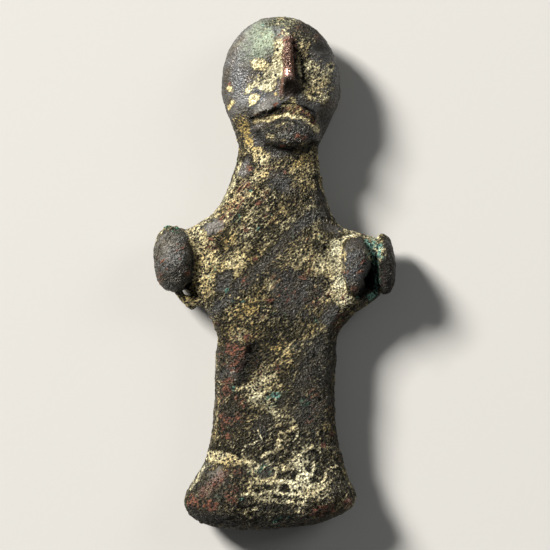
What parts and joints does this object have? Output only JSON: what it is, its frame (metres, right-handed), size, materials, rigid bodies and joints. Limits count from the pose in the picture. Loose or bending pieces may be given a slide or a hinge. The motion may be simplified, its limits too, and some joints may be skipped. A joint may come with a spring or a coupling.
{
  "type": "bronze votive figure",
  "caption": "Small solid-cast bronze votive figure with a round mask-like face, bar nose, down-turned mouth, stub arms with clasping hands, and a flat flaring body.",
  "frame": {"origin": "centre of the overall box, on the surface that the figure lies on, under its back", "axes": "+X to the right of someone who looks down on the face with the head away from them, +Y from sole to crown, +Z out of the face"},
  "size_m": [0.033, 0.0702, 0.0105],
  "materials": {
    "bronze": "cast, corroded to a dark grey skin with earth, red cuprite and green malachite"
  },
  "bodies": {
    "root": {"votive_figure": "bronze"}
  },
  "joints": []
}
